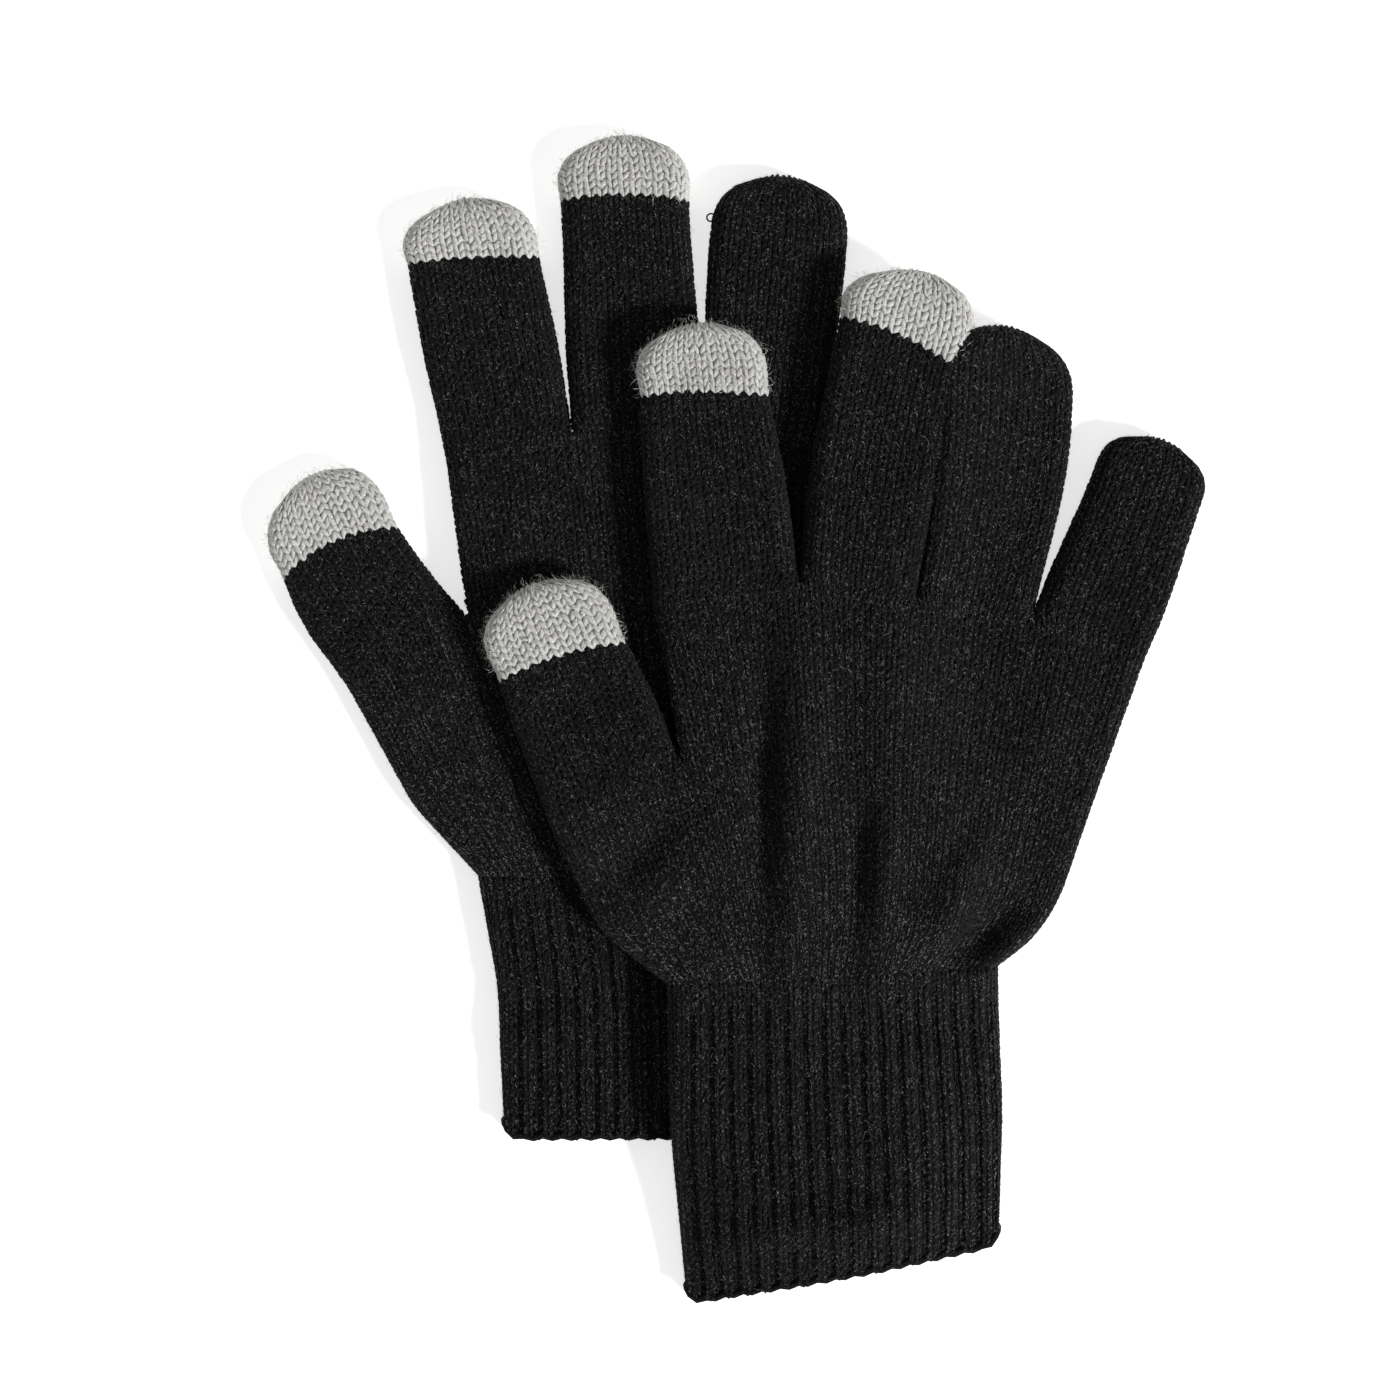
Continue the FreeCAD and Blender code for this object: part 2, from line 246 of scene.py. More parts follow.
def rear_capsules():
    """Lists the thick lines that cover the rear glove, as (start, end, radius)."""
    inset = 8 * MM
    towards_centre = 0.15
    centre = corner("rear", "dart") * 0.3 + corner("rear", "middle_web") * 0.7
    capsules = []
    for first, last, radius in REAR_BODY:
        start, end = corner("rear", first), corner("rear", last)
        capsules.append((start + (centre - start) * towards_centre, end, radius * MM))
    for digit in DIGITS:
        root, along, _ = digit_frame("rear", digit)
        size = DIGIT_SIZES["rear"][digit]
        end = root + along * (size.length - size.width / 2) * MM
        capsules.append((root - along * inset, end, size.width / 2 * MM))
    return capsules


CAPSULES = rear_capsules()


def drape(x, y):
    """Returns how high the front glove lies: on the rear glove where that is under it, else on the table."""
    reach = 26 * MM
    height = np.zeros_like(x)
    for start, end, radius in CAPSULES:
        height = np.maximum(height, ease(1 - capsule_distance(x, y, start, end, radius) / reach))
    return lift * height


# Soft folds: centre x and y, direction in degrees, half length, half width and height, in mm.
FOLDS = {
    "front": [
        (13.0, -16, 88, 34, 5.0, 4.0), (6.0, -19, 90, 30, 3.4, -2.6), (31.5, -34, 86, 15, 3.6, 2.8),
        (25.0, -33, 88, 15, 3.0, -2.0), (47.0, -38, 68, 11, 3.8, 3.2), (51.0, -46.5, 38, 12, 3.6, -4.2),
        (56.5, -51.5, 38, 10, 3.0, 3.0), (-14.0, -36, 40, 12, 5.5, 2.0), (-21.0, -29, 45, 12, 4.5, -1.8),
        (-1.5, 41, 6, 11, 6.0, -1.3), (-33.6, 1, 22, 9, 5.0, -1.2), (30.5, 53, -10, 10, 6.0, -1.2),
        (56.7, 40, -6, 10, 5.0, -1.2), (79.0, 15, -20, 8, 6.0, -0.8), (25.0, -107, 8, 26, 3.2, 1.5),
        (25.0, -100, 8, 26, 3.0, -1.0), (0.0, -112, 20, 9, 3.5, 1.0), (62.0, -10, 68, 16, 6.0, 1.0),
    ],
    "rear": [
        (-56.7, 65, 6, 11, 6.5, -1.3), (-80.0, 21, 30, 9, 5.0, -1.1), (-64.0, -6, 32, 10, 6.0, -1.2),
        (-43.0, -71, 4, 13, 3.6, 1.0), (-43.0, -61, 4, 13, 3.6, -1.2), (-22.0, 84, 2, 9, 7.0, -1.0),
        (4.0, 84, 0, 9, 7.0, -0.8), (-48.0, 30, 80, 18, 6.0, 0.9),
    ],
}


def folds(glove, x, y):
    """Returns the height of a glove's folds and hollows on its upper face."""
    height = np.zeros_like(x)
    for cx, cy, turn, half_length, half_width, rise in FOLDS[glove]:
        along = np.array([math.cos(math.radians(turn)), math.sin(math.radians(turn))])
        dx, dy = x - cx * MM, y - cy * MM
        run = (dx * along[0] + dy * along[1]) / (half_length * MM)
        side = (dy * along[0] - dx * along[1]) / (half_width * MM)
        height += rise * MM * np.exp(-run ** 2 - side ** 2)
    ripple = RIPPLE * np.sin(x * 310 + 2 * np.sin(y * 140)) * np.sin(y * 270 + 1.5 * np.sin(x * 190))
    return height + ripple


# Knitted zones

def edge_profile(share, width, round_left, round_right, thick):
    """Returns (across, height) of points along a zone's upper face; rounded edges come down to the middle."""
    left = EDGE_ROUND * round_left * math.pi / 2
    right = EDGE_ROUND * round_right * math.pi / 2
    flat = width - EDGE_ROUND * (round_left + round_right)
    run = share * (left + flat + right)
    turn_left = np.clip(1 - run / np.maximum(left, TINY_LENGTH), 0, 1) * math.pi / 2
    turn_right = np.clip((run - left - flat) / np.maximum(right, TINY_LENGTH), 0, 1) * math.pi / 2
    on_flat = np.clip(run - left, 0, flat)
    across = (EDGE_ROUND * round_left * (1 - np.sin(turn_left)) + on_flat
              + EDGE_ROUND * round_right * np.sin(turn_right))
    drop = round_left * (1 - np.cos(turn_left)) + round_right * (1 - np.cos(turn_right))
    return across / width, thick * (1 - drop)


def lay(glove, flat, height, side, thick=HALF_THICK):
    """Turns a flat grid and its heights into 3-D points on the upper (side 1) or lower face (side -1)."""
    x, y = flat[..., 0], flat[..., 1]
    z = table_z + STAND_OFF + thick + side * height
    if side > 0:
        z = z + folds(glove, x, y) * height / HALF_THICK
    if glove == "front":
        z = z + drape(x, y)
    return np.stack([x, y, z], axis=-1)


def digit_width(glove, digit, run):
    """Returns a digit's half width at runs from its root, and how far into its round end each run lies."""
    size = DIGIT_SIZES[glove][digit]
    length, width, cap = size.length * MM, size.width * MM, size.cap * MM
    start, end = (corner(glove, name) for name in DIGITS[digit])
    root_half = np.linalg.norm(end - start) / 2
    round_run = TIP_SHARE * width
    swell_run = 0.4 * cap
    straight = length - round_run
    half = root_half + (width / 2 - root_half) * np.clip(run / straight, 0, 1)
    half = half + SIDE_WAVE * np.sin(run / length * 7 + len(digit)) * ease(run / length * 4)
    if cap:
        half = half + CAP_BULGE * ease((run - length + cap) / swell_run)
    beyond = np.clip((run - straight) / round_run, 0, 1)
    return half * np.sqrt(1 - TIP_NARROWING * beyond ** 2.5), beyond


def digit_grid(glove, digit, wales, courses, side):
    """Returns the corner grid of one face of a digit; its courses slant and arch like the cap's border."""
    root, along, across = digit_frame(glove, digit)
    size = DIGIT_SIZES[glove][digit]
    slant = math.tan(math.radians(size.slant))
    length, cap, arch, bow = size.length * MM, size.cap * MM, size.arch * MM, size.bow * MM
    run = (-OVERLAP + (length + OVERLAP) * np.linspace(0, 1, courses + 1))[:, None]
    half, beyond = digit_width(glove, digit, run)
    full = np.clip(half / (2 * EDGE_ROUND), 0, 1)
    web = full * ease(run / WEB_RUN)
    round_left = full if digit in ("thumb", "index") else web
    round_right = full if digit == "little" else web
    towards_root = np.clip(1 - run / length, 0, 1)
    thick = HALF_THICK * (END_THICKNESS + ROOT_EXTRA * towards_root) * np.sqrt(1 - beyond ** 4)
    share = np.linspace(0, 1, wales + 1)[None, :]
    place, height = edge_profile(share, 2 * half, round_left, round_right, thick)
    offset = (place - 0.5) * 2 * half
    bowed = bow * np.sin(math.pi * np.clip(run / length, 0, 1))
    run = run - TIP_CROWN * beyond ** 2 * (offset / half) ** 2
    if cap:
        pull = ease(run / (length - cap)) * ease((length - run) / cap)
        run = run + pull * (slant * offset - arch * (offset / half) ** 2)
    flat = root + along * run[..., None] + across * (offset + bowed)[..., None]
    return lay(glove, flat, height, side)


def polyline(points, share):
    """Returns points at shares of the length of a line through corners."""
    points = np.array(points)
    steps = np.linalg.norm(np.diff(points, axis=0), axis=1)
    known = np.concatenate([[0], np.cumsum(steps)]) / steps.sum()
    return np.stack([np.interp(share, known, points[:, axis]) for axis in (0, 1)], axis=-1)


def smooth(line, rounds=6):
    """Softens the corners of an evenly spaced line, keeping its ends."""
    line = line.copy()
    for _ in range(rounds):
        line[1:-1] = (line[:-2] + 2 * line[1:-1] + line[2:]) / 4
    return line


def patch_grid(glove, side, bottom, top, left, right, rounds, wales, courses, thin=1.0):
    """Returns the corner grid of a zone between four boundary lines.

    Rounds gives the left and the right edge's rounding at the bottom, middle and top. Thin is the share of
    the thickness that is left at the bottom.
    """
    v = np.linspace(0, 1, courses + 1)
    left_line, right_line = smooth(polyline(left, v)), smooth(polyline(right, v))
    width = np.linalg.norm(right_line - left_line, axis=1)[:, None]
    round_left, round_right = (np.interp(v, [0, 0.5, 1], ends)[:, None] for ends in rounds)
    thick = HALF_THICK * (1 + (thin - 1) * (1 - v[:, None]))
    place, height = edge_profile(np.linspace(0, 1, wales + 1)[None, :], width, round_left, round_right, thick)
    height = np.broadcast_to(height, place.shape)
    low = polyline(bottom, place.ravel()).reshape(*place.shape, 2)
    high = polyline(top, place.ravel()).reshape(*place.shape, 2)
    u, v = place[..., None], v[:, None, None]
    sides = left_line[:, None, :] * (1 - u) + right_line[:, None, :] * u
    corners_low = left_line[0] * (1 - u) + right_line[0] * u
    corners_high = left_line[-1] * (1 - u) + right_line[-1] * u
    flat = sides + (low - corners_low) * (1 - v) + (high - corners_high) * v
    return lay(glove, flat, height, side, thick)


# One stitch leg: a spindle of yarn along a slanting line. Its ends and radii are in shares of a stitch
# (across and along) and in yarns (out); its stations are shares of its length with the fatness there.

LEG_START = (0.02, -0.95, 0.0)
LEG_END = (0.48, 0.58, -0.9)
LEG_RADII = (0.26, -0.13, 0.75)
LEG_ARCH = 0.2
LEG_SIDES = 5
LEG_STATIONS = [(0.16, 0.6), (0.5, 1.0), (0.84, 0.8)]


def leg_template(hand):
    """Returns the points and faces of the left (-1) or right (1) leg of a V."""
    start, end = np.array(LEG_START), np.array(LEG_END)
    start[0] *= hand
    end[0] *= hand
    points = [start]
    for share, fatness in LEG_STATIONS:
        centre = start + (end - start) * share
        centre[2] = LEG_ARCH * math.cos(share * math.pi / 2)
        for side in range(LEG_SIDES):
            turn = 2 * math.pi * side / LEG_SIDES
            spoke = np.array([math.cos(turn), hand * math.cos(turn), math.sin(turn)])
            points.append(centre + fatness * np.array(LEG_RADII) * spoke)
    points.append(end)
    faces = []
    last_ring = 1 + (len(LEG_STATIONS) - 1) * LEG_SIDES
    last_point = last_ring + LEG_SIDES
    for side in range(LEG_SIDES):
        following = (side + 1) % LEG_SIDES
        faces.append((0, 1 + following, 1 + side, 1 + side))
        for base in range(1, last_ring, LEG_SIDES):
            ahead = base + LEG_SIDES
            faces.append((base + side, base + following, ahead + following, ahead + side))
        faces.append((last_ring + side, last_ring + following, last_point, last_point))
    return np.array(points), np.array(faces)


LEGS = [leg_template(-1), leg_template(1)]


def cell_frames(grid, side):
    """Returns the centre, across, along and outward vectors of every cell of a corner grid."""
    a, b, c, d = grid[:-1, :-1], grid[:-1, 1:], grid[1:, 1:], grid[1:, :-1]
    centre = (a + b + c + d) / 4
    across = ((b - a) + (c - d)) / 2
    along = ((d - a) + (c - b)) / 2
    out = np.cross(across, along)
    out /= np.maximum(np.linalg.norm(out, axis=-1, keepdims=True), TINY_AREA)
    return centre, across, along, out * side


def backing(grid, out, relief, depth):
    """Returns the points and faces of the closed cloth a depth (in yarns) under a grid's stitches."""
    normals, lifted = (np.pad(part, ((0, 1), (0, 1), (0, 0)), mode="edge") for part in (out, relief))
    points = grid + normals * (lifted - depth * YARN)
    index = np.arange(grid.shape[0] * grid.shape[1]).reshape(grid.shape[:2])
    quads = np.stack([index[:-1, :-1], index[:-1, 1:], index[1:, 1:], index[1:, :-1]], axis=-1)
    return points.reshape(-1, 3), quads.reshape(-1, 4)


def knit(grid, side, depth, relief=None):
    """Returns the points and faces of a grid's stitches and of their backing, a depth (in yarns) below."""
    centre, across, along, out = cell_frames(grid, side)
    fit = np.linalg.norm(across, axis=-1, keepdims=True) / STITCH_WIDTH
    yarn = YARN * np.clip(fit, *YARN_RANGE)
    if relief is None:
        relief = np.zeros_like(yarn)
    flat = [part.reshape(-1, 1, part.shape[-1]) for part in (centre, across, along, out, yarn, relief)]
    place, u, v, n, yarn, rise = flat
    count = len(place)
    blocks, face_blocks, total = [], [], 0
    for points, faces in LEGS:
        sway = 1 + LEG_SWAY * random.standard_normal((count, 1, 3)) * np.array([1, 1, 0.6])
        shape = points[None] * sway
        shift = random.normal(0, LEG_SHIFT, (count, 1, 2))
        leg = (place + u * (shape[..., :1] + shift[..., :1]) + v * (shape[..., 1:2] + shift[..., 1:])
               + n * (shape[..., 2:] * yarn + rise))
        starts = total + np.arange(count)[:, None, None] * len(points)
        blocks.append(leg.reshape(-1, 3))
        face_blocks.append((faces[None] + starts).reshape(-1, 4))
        total += count * len(points)
    back_points, back_faces = backing(grid, out, relief, depth)
    blocks.append(back_points)
    face_blocks.append(back_faces + total)
    return np.concatenate(blocks), np.concatenate(face_blocks)


def fibres(grid, side, kind, relief=None):
    """Returns the points and faces of loose fibre ends that lie on the cloth or stand off it."""
    centre, across, along, out = cell_frames(grid, side)
    flat = [part.reshape(-1, 3) for part in (centre, across, along, out)]
    count = int(kind.per_stitch * len(flat[0]))
    pick = random.integers(0, len(flat[0]), count)
    place, u, v, n = (part[pick] for part in flat)
    leg = random.choice([-1, 1], (count, 1))
    beside_leg = random.normal(0, 0.1, (count, 1))
    place = place + u * (0.25 * leg + beside_leg) + v * random.uniform(-0.6, 0.4, (count, 1))
    if relief is not None:
        place = place + n * relief.reshape(-1, 1)[pick]
    u = u / np.linalg.norm(u, axis=1, keepdims=True)
    v = v / np.linalg.norm(v, axis=1, keepdims=True)
    turn = math.pi / 2 - leg * LEG_TURN + random.normal(0, kind.wander, (count, 1))
    way = u * np.cos(turn) + v * np.sin(turn)
    beside = np.cross(n, way)
    size = kind.length * random.uniform(0.5, 1.5, (count, 1))
    rise = kind.spread * random.uniform(0.1, 1.0, (count, 1))
    start = place + n * FIBRE_FOOT * YARN
    middle = start + way * size * 0.5 + n * rise * 0.7 + beside * size * random.normal(0, 0.15, (count, 1))
    end = start + way * size + n * rise + beside * size * random.normal(0, 0.3, (count, 1))
    thin = FIBRE_HALF * beside
    points = np.stack([start, middle - thin, end, middle + thin], axis=1)
    faces = np.arange(4)[None] + np.arange(count)[:, None] * 4
    return points.reshape(-1, 3), faces


def thread(path, thickness, reference):
    """Returns the points and faces of a closed thread along a path that lies across a reference axis."""
    sides = 6
    way = np.roll(path, -1, axis=0) - np.roll(path, 1, axis=0)
    beside = np.cross(way, reference)
    beside /= np.linalg.norm(beside, axis=1, keepdims=True)
    above = np.cross(beside, way)
    above /= np.linalg.norm(above, axis=1, keepdims=True)
    turn = np.linspace(0, 2 * math.pi, sides, endpoint=False)[None, :, None]
    points = path[:, None] + thickness / 2 * (np.cos(turn) * beside[:, None] + np.sin(turn) * above[:, None])
    index = np.arange(len(path) * sides).reshape(len(path), sides)
    ahead = np.roll(index, -1, axis=0)
    faces = np.stack([index, ahead, np.roll(ahead, -1, axis=1), np.roll(index, -1, axis=1)], axis=-1)
    return points.reshape(-1, 3), faces.reshape(-1, 4)


def spread_flat(mesh, points, loops):
    """Gives a mesh a flat layout for baked colours, with its upper points beside its lower ones."""
    low, high = points.min(axis=0), points.max(axis=0)
    flat = (points - low)[:, :2] / (high - low)[:2] * (0.5, 1)
    flat[points[:, 2] < np.median(points[:, 2]), 0] += 0.5
    mesh.uv_layers.new(name="OFBake").uv.foreach_set("vector", flat[loops].astype(np.float32).ravel())


def add_piece(name, parts, materials, body, nodes):
    """Makes one mesh of (points, faces, material number) parts; it is tied to a body only if given by name."""
    points = np.concatenate([part[0] for part in parts])
    points[:, 2] = np.maximum(points[:, 2], table_z)
    starts = np.cumsum([0] + [len(part[0]) for part in parts[:-1]])
    faces = np.concatenate([part[1] + start for part, start in zip(parts, starts)])
    numbers = np.concatenate([np.full(len(part[1]), part[2]) for part in parts])
    is_quad = faces[:, 2] != faces[:, 3]
    sizes = np.where(is_quad, 4, 3)
    used = np.ones(faces.shape, bool)
    used[:, 3] = is_quad
    loops = faces[used]
    mesh = bpy.data.meshes.new(name)
    mesh.vertices.add(len(points))
    mesh.vertices.foreach_set("co", points.astype(np.float32).ravel())
    mesh.loops.add(len(loops))
    mesh.loops.foreach_set("vertex_index", loops.astype(np.int32))
    mesh.polygons.add(len(faces))
    mesh.polygons.foreach_set("loop_start", (np.cumsum(sizes) - sizes).astype(np.int32))
    mesh.polygons.foreach_set("material_index", numbers.astype(np.int32))
    mesh.update(calc_edges=True)
    mesh.polygons.foreach_set("use_smooth", np.ones(len(faces), bool))
    for material in materials:
        mesh.materials.append(material)
    spread_flat(mesh, points, loops)
    piece = bpy.data.objects.new(name, mesh)
    bpy.context.scene.collection.objects.link(piece)
    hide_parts(*nodes)
    if isinstance(body, str):
        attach(piece, body)
    else:
        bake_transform(piece)


# Materials

# The colour sockets of a mix node, which share their names with its sockets for numbers and vectors.
MIX_FIRST, MIX_SECOND, MIX_RESULT = 6, 7, 2


def new_material(name):
    """Returns a material with its node tree and its principled shader."""
    material = bpy.data.materials.new(name)
    material.use_nodes = True
    return material, material.node_tree, material.node_tree.nodes["Principled BSDF"]


def noise(tree, coordinates, scale, detail=3.0, rough=0.6):
    """Adds a noise texture over some coordinates and returns its factor."""
    node = tree.nodes.new("ShaderNodeTexNoise")
    node.inputs["Scale"].default_value = scale
    node.inputs["Detail"].default_value = detail
    node.inputs["Roughness"].default_value = rough
    tree.links.new(coordinates, node.inputs["Vector"])
    return node.outputs["Fac"]


def ramp(tree, factor, stops):
    """Adds a colour ramp over a factor and returns its colour."""
    node = tree.nodes.new("ShaderNodeValToRGB")
    while len(node.color_ramp.elements) < len(stops):
        node.color_ramp.elements.new(0.5)
    for element, (position, colour) in zip(node.color_ramp.elements, stops):
        element.position = position
        element.color = (*colour, 1)
    tree.links.new(factor, node.inputs["Fac"])
    return node.outputs["Color"]


def mixed(tree, factor, first, second):
    """Mixes two colours by a factor."""
    node = tree.nodes.new("ShaderNodeMix")
    node.data_type = "RGBA"
    tree.links.new(factor, node.inputs["Factor"])
    tree.links.new(first, node.inputs[MIX_FIRST])
    tree.links.new(second, node.inputs[MIX_SECOND])
    return node.outputs[MIX_RESULT]


def yarn_material(name, dark, light, fleck, sheen):
    """Spun yarn: two shades twisted together, paler fibre flecks, soft sheen and a fibrous surface."""
    material, tree, shader = new_material(name)
    coordinates = tree.nodes.new("ShaderNodeTexCoord").outputs["Object"]
    twist = ramp(tree, noise(tree, coordinates, 900, 4), [(0.35, dark), (0.65, light)])
    patches = noise(tree, coordinates, 45, 2)
    deeper = tuple(0.75 * level for level in dark)
    worn = ramp(tree, patches, [(0.3, deeper), (0.7, light)])
    base = mixed(tree, patches, twist, worn)
    flecks = ramp(tree, noise(tree, coordinates, 2600, 2, 0.5), [(0.57, (0, 0, 0)), (0.68, (1, 1, 1))])
    fleck_colour = tree.nodes.new("ShaderNodeRGB").outputs[0]
    fleck_colour.default_value = (*fleck, 1)
    tree.links.new(mixed(tree, flecks, base, fleck_colour), shader.inputs["Base Color"])
    bump = tree.nodes.new("ShaderNodeBump")
    bump.inputs["Strength"].default_value = 0.6
    bump.inputs["Distance"].default_value = 0.12 * MM
    tree.links.new(noise(tree, coordinates, 3500, 3), bump.inputs["Height"])
    tree.links.new(bump.outputs["Normal"], shader.inputs["Normal"])
    shader.inputs["Roughness"].default_value = 0.92
    shader.inputs["Specular IOR Level"].default_value = 0.1
    shader.inputs["Sheen Weight"].default_value = sheen
    shader.inputs["Sheen Roughness"].default_value = 0.5
    return material


def fibre_material(name, dark, light):
    """Loose fibre ends, some dark and some pale."""
    material, tree, shader = new_material(name)
    coordinates = tree.nodes.new("ShaderNodeTexCoord").outputs["Object"]
    shades = ramp(tree, noise(tree, coordinates, 2500, 0), [(0.45, dark), (0.60, light)])
    tree.links.new(shades, shader.inputs["Base Color"])
    shader.inputs["Roughness"].default_value = 0.7
    return material


# Of each yarn: its dark shade, its light shade and its flecks.
BLACK_SHADES = ((0.002, 0.002, 0.0024), (0.0062, 0.0062, 0.0071), (0.034, 0.034, 0.0345))
PALE_SHADES = ((0.47, 0.465, 0.44), (0.65, 0.645, 0.62), (0.79, 0.785, 0.76))
ELASTIC_SHADES = ((0.012, 0.012, 0.012), (0.02, 0.02, 0.02), (0.06, 0.06, 0.06))

black = yarn_material("black_yarn", *BLACK_SHADES, 0.03)
rib = yarn_material("black_rib", *BLACK_SHADES, 0.03)
hem = yarn_material("hem_yarn", *BLACK_SHADES, 0.03)
pale = yarn_material("conductive_yarn", *PALE_SHADES, 0.2)
elastic = yarn_material("elastic_thread", *ELASTIC_SHADES, 0.05)
dark_fibre = fibre_material("black_fibre", (0.004, 0.004, 0.0045), (0.17, 0.17, 0.168))
pale_fibre = fibre_material("conductive_fibre", (0.55, 0.53, 0.50), (0.85, 0.83, 0.80))


# Pieces

def wales_for(width, stitch_width=STITCH_WIDTH):
    """Returns how many stitches fit across a face that wraps round both edges."""
    return round((width + (math.pi - 2) * EDGE_ROUND) / stitch_width)


def zone_parts(grid, side, relief=None):
    """Returns one black face as (points, faces, material number): its stitches, its flecks and its fuzz."""
    return [
        (*knit(grid, side, BACKING_DEPTH, relief), 0),
        (*fibres(grid, side, FLECKS, relief), 1),
        (*fibres(grid, side, FUZZ, relief), 1),
    ]


def cap_parts(grid, side):
    """Returns one face of a pale cap as (points, faces, material number)."""
    return [
        (*knit(grid, side, CAP_BACKING_DEPTH), 0),
        (*fibres(grid, side, CAP_FLECKS), 1),
        (*fibres(grid, side, CAP_FUZZ), 1),
    ]


def loose_loop(size, root, along, across):
    """Returns the points and faces of a small loop of yarn pulled out of a digit's left edge."""
    share, clearance = 0.815, 0.3
    place = root + along * share * size.length * MM - across * (size.width / 2 + clearance) * MM
    turn = np.linspace(0, 2 * math.pi, 16, endpoint=False)
    path = np.stack([place[0] + 0.9 * MM * np.cos(turn), place[1] + 0.8 * MM * np.sin(turn),
                     table_z + tube_height / 2 + 0.3 * MM * np.sin(turn)], axis=-1)
    return thread(path, 0.35 * MM, (0, 0, 1))


def digit_body(glove, digit):
    """Returns the body a digit rides on, or the two it bends between and the ends of its bend."""
    name, hand = f"{glove}_{digit}", f"{glove}_hand"
    if name not in frame["bodies"]:
        return hand
    root, along, _ = digit_frame(glove, digit)
    centre_z = (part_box(name)[0][2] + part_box(name)[1][2]) / 2
    return hand, name, (*root, centre_z), (*(root + along * BEND_RUN), centre_z)


def build_digit(glove, digit):
    """Builds a digit as a black tube and, on touch digits, a pale cap with a zigzag border."""
    size = DIGIT_SIZES[glove][digit]
    courses = round((size.length * MM + OVERLAP) / STITCH_LENGTH)
    border = courses - round(size.cap * MM / STITCH_LENGTH)
    tube, tip = [], []
    for side in (1, -1):
        grid = digit_grid(glove, digit, wales_for(size.width * MM), courses, side)
        tube += zone_parts(grid[:border + 1], side)
        if size.cap:
            tip += cap_parts(grid[border:], side)
    if (glove, digit) == ("rear", "ring"):
        tube.append((*loose_loop(size, *digit_frame(glove, digit)), 0))
    name, body = f"{glove}_{digit}", digit_body(glove, digit)
    add_piece(f"{name}_knit", tube, (black, dark_fibre), body, [name])
    if size.cap:
        add_piece(f"{name}_tip_knit", tip, (pale, pale_fibre), body, [f"{name}_tip"])


def build_palm(glove):
    """Builds the hand's knitting and, beside it, the thumb's, which meets it along the dart."""
    line = {name: corner(glove, name) for name in CORNERS[glove]}
    knuckles = [line[name] for name in ("index_edge", "index_web", "middle_web", "ring_web", "little_edge")]
    heel_low = line["cuff_right"] * 0.45 + line["heel"] * 0.55 + (0.8 * MM, -1.6 * MM)
    hand_right = [line["cuff_right"], heel_low, line["heel"], line["side"], line["little_edge"]]
    hand_width = np.linalg.norm(line["little_edge"] - line["index_edge"])
    hand_length = np.linalg.norm(line["middle_web"] - (line["dart"] + line["cuff_right"]) / 2)
    gusset_width = np.linalg.norm(line["thumb_web"] - line["thumb_edge"])
    gusset_length = 1.1 * np.linalg.norm(line["thumb_web"] - line["dart"])
    hand = {
        "bottom": [line["dart"], line["cuff_right"]],
        "top": knuckles,
        "left": [line["dart"], line["thumb_web"], line["index_edge"]],
        "right": hand_right,
        "rounds": ((0, 0, 1), (1, 1, 1)),
        "wales": wales_for(hand_width),
        "courses": round(hand_length / STITCH_LENGTH),
    }
    gusset = {
        "bottom": [line["cuff_left"], line["dart"]],
        "top": [line["thumb_edge"], line["thumb_web"]],
        "left": [line["cuff_left"], line["thumb_base"], line["thumb_edge"]],
        "right": [line["dart"], line["thumb_web"]],
        "rounds": ((1, 1, 1), (0, 0, 0.15)),
        "wales": wales_for(gusset_width),
        "courses": round(gusset_length / STITCH_LENGTH),
    }
    parts = []
    for side in (1, -1):
        for zone in (hand, gusset):
            parts += zone_parts(patch_grid(glove, side, **zone), side)
    add_piece(f"{glove}_palm_knit", parts, (black, dark_fibre), f"{glove}_hand",
              [f"{glove}_palm"])


def rib_relief(grid):
    """Returns how far each stitch of a 1x1 rib stands out or sinks in, fading at the hand and the sides."""
    courses, columns = np.arange(grid.shape[0] - 1), np.arange(grid.shape[1] - 1)
    from_side = np.minimum(columns, columns[::-1])
    wave = np.where(columns % 2 == 0, RIB_OUT, RIB_IN) * ease(from_side / RIB_FADE_WALES)
    fade = ease((len(courses) - courses) / RIB_FADE_COURSES)
    return wave[None, :, None] * fade[:, None, None]


def hem_outline(left, right):
    """Returns the hem's line from one side of the cuff to the other, with its rounded corners."""
    way = (right - left) / np.linalg.norm(right - left)
    up = np.array([0.0, 1.0])
    turn = [(0, 1), (0.29, 0.29), (1, 0)]
    left_turn = [left + (way * along + up * above) * HEM_ROUND for along, above in turn]
    right_turn = [right + (up * above - way * along) * HEM_ROUND for along, above in turn]
    return left_turn + right_turn[::-1]


def round_trip(upper, lower):
    """Joins a row of the upper face and the same row of the lower face into one closed path."""
    return np.concatenate([upper, lower[-2:0:-1]])


def hem_edge(upper, lower):
    """Returns the bound-off edge: a thread round the hem that steps in and out from stitch to stitch."""
    path = round_trip(upper[0], lower[0])
    path[:, 1] += np.where(np.arange(len(path)) % 2 == 0, 0.2, -0.3) * MM
    return thread(path, HEM_THREAD, (0, 1, 0))


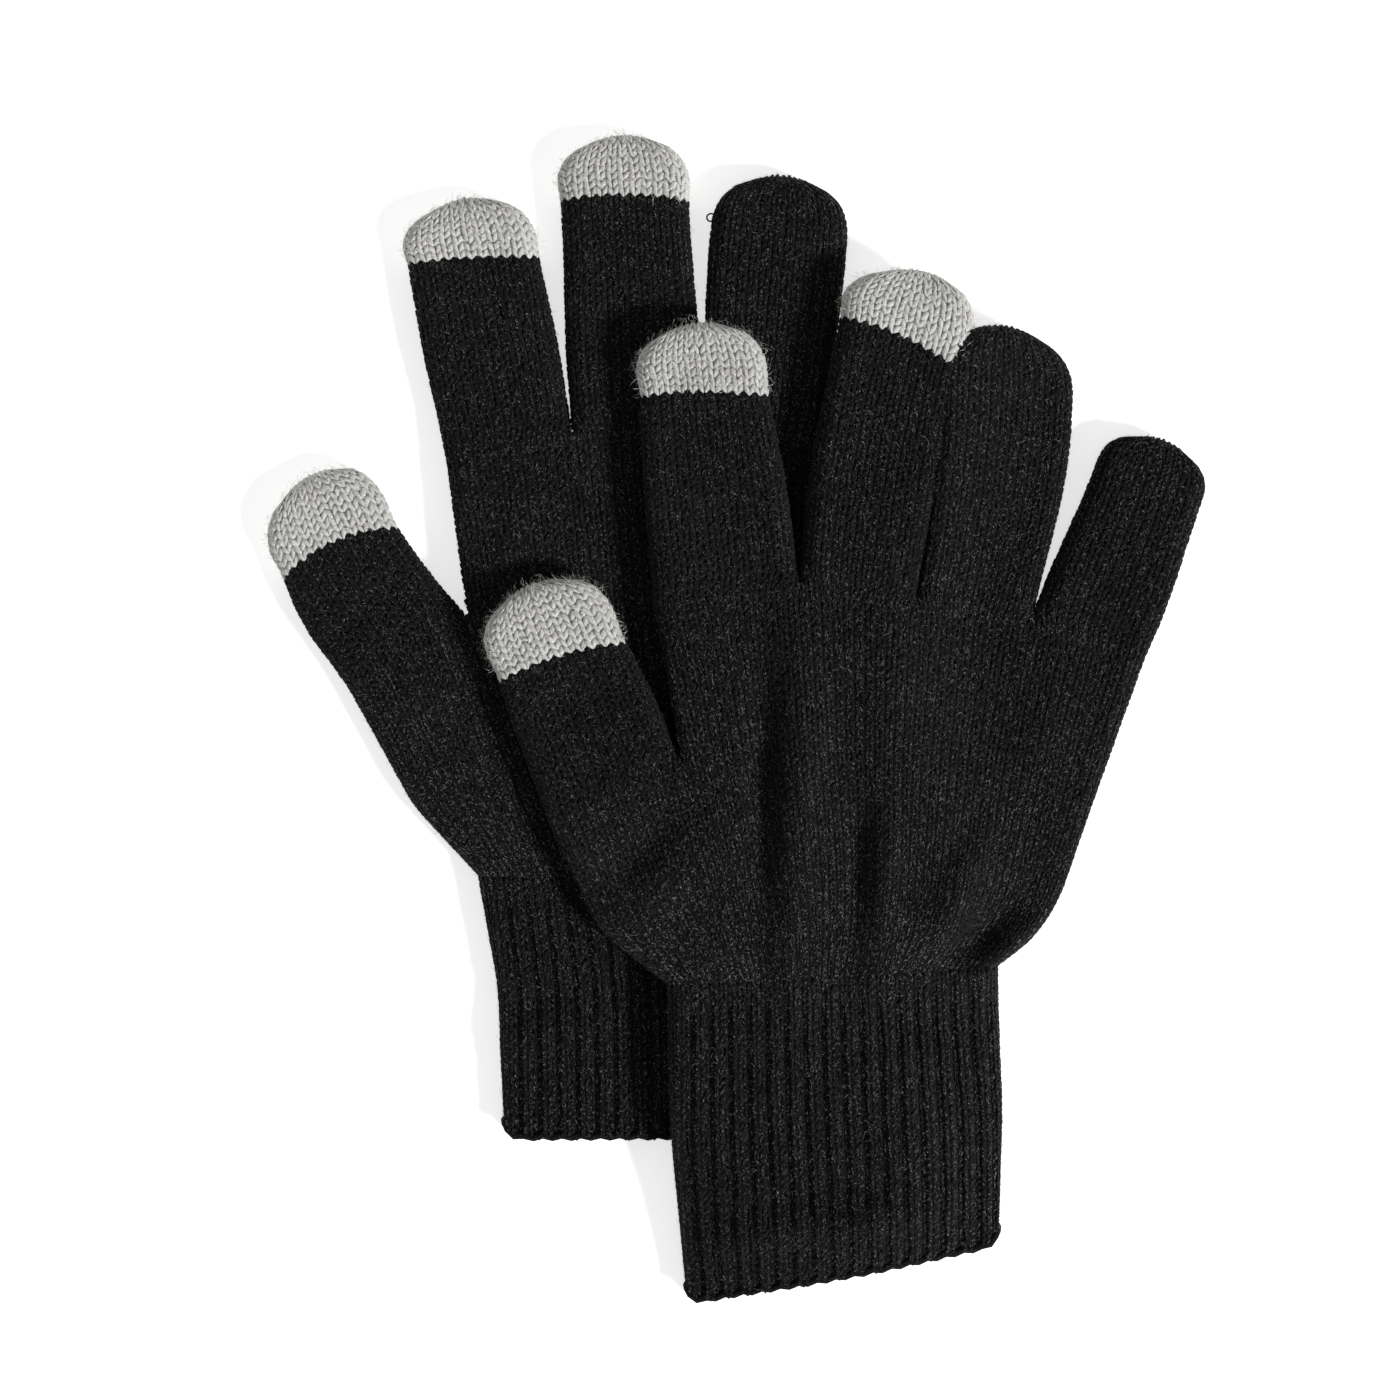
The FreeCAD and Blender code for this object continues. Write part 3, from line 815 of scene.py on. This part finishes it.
def build_elastics(glove, upper, lower):
    """Builds the elastic threads that run round inside the cuff."""
    share_of_thickness, share_of_width = 0.6, 0.96
    threads = []
    for row in np.linspace(0.12, 0.9, ELASTIC_LOOPS) * (len(upper) - 1):
        over, under = upper[int(row)], lower[int(row)]
        middle = (over + under) / 2
        path = round_trip(middle + (over - middle) * share_of_thickness,
                          middle + (under - middle) * share_of_thickness)
        centre_x = path[:, 0].mean()
        path[:, 0] = centre_x + (path[:, 0] - centre_x) * share_of_width
        threads.append((*thread(path, ELASTIC_SIZE, (0, 1, 0)), 0))
    add_piece(f"{glove}_elastics_knit", threads, (elastic,), f"{glove}_hand",
              [f"{glove}_cuff_elastics"])


def build_cuff(glove):
    """Builds the ribbed cuff, its bound-off hem and the elastic threads inside the rib."""
    line = {name: corner(glove, name) for name in CORNERS[glove]}
    width = np.linalg.norm(line["waist_right"] - line["waist_left"])
    length = np.linalg.norm(line["cuff_left"] - line["hem_left"])
    hem_line = hem_outline(line["hem_left"], line["hem_right"])
    cuff = {
        "bottom": hem_line,
        "top": [line["cuff_left"], line["cuff_right"]],
        "left": [hem_line[0], line["waist_left"], line["cuff_left"]],
        "right": [hem_line[-1], line["waist_right"], line["cuff_right"]],
        "rounds": ((1, 1, 1), (1, 1, 1)),
        "wales": wales_for(width, RIB_WIDTH),
        "courses": round(length / STITCH_LENGTH),
    }
    ribbed, bound, faces = [], [], []
    for side in (1, -1):
        grid = patch_grid(glove, side, **cuff, thin=CUFF_THIN)
        relief = rib_relief(grid)
        ribbed += zone_parts(grid[HEM_COURSES:], side, relief[HEM_COURSES:])
        bound += zone_parts(grid[:HEM_COURSES + 1], side, relief[:HEM_COURSES])
        faces.append(grid)
    bound.append((*hem_edge(*faces), 0))
    body = f"{glove}_hand"
    add_piece(f"{glove}_cuff_knit", ribbed, (rib, dark_fibre), body, [f"{glove}_cuff"])
    add_piece(f"{glove}_hem_knit", bound, (hem, dark_fibre), body, [f"{glove}_cuff_hem"])
    build_elastics(glove, *faces)


for glove in ("rear", "front"):
    build_palm(glove)
    build_cuff(glove)
    for digit in DIGITS:
        build_digit(glove, digit)


# Floor, light and camera

def build_stage():
    """Adds a plain pale floor under the pair."""
    material, _, shader = new_material("floor")
    shader.inputs["Base Color"].default_value = (0.9, 0.9, 0.9, 1)
    shader.inputs["Roughness"].default_value = 0.9
    shader.inputs["Emission Color"].default_value = (1, 1, 1, 1)
    shader.inputs["Emission Strength"].default_value = 0.66
    bpy.ops.mesh.primitive_plane_add(size=6, location=(0, 0, table_z - 0.05 * MM))
    floor = bpy.context.object
    floor.name = "floor"
    floor.data.materials.append(material)
    floor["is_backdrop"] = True


def build_light():
    """Adds a soft key from the lower right and an even pale surround."""
    sun = bpy.data.lights.new("key", "SUN")
    sun.energy = 3.4
    sun.angle = math.radians(9)
    key = bpy.data.objects.new("key", sun)
    key.rotation_euler = (math.radians(25), math.radians(48), 0)
    bpy.context.scene.collection.objects.link(key)
    world = bpy.data.worlds.new("studio")
    world.use_nodes = True
    world.node_tree.nodes["Background"].inputs["Color"].default_value = (1, 1, 1, 1)
    world.node_tree.nodes["Background"].inputs["Strength"].default_value = 0.31
    bpy.context.scene.world = world


def build_camera():
    """Adds a camera straight above the pair, with a little room round it."""
    view_width = 0.294
    lens = bpy.data.cameras.new("camera")
    lens.lens = 100
    distance = view_width * lens.lens / lens.sensor_width
    camera = bpy.data.objects.new("camera", lens)
    camera.location = (-7.3 * MM, 2.4 * MM, table_z + 12 * MM + distance)
    bpy.context.scene.collection.objects.link(camera)
    bpy.context.scene.camera = camera


build_stage()
build_light()
build_camera()
bpy.context.scene.view_settings.view_transform = "Standard"
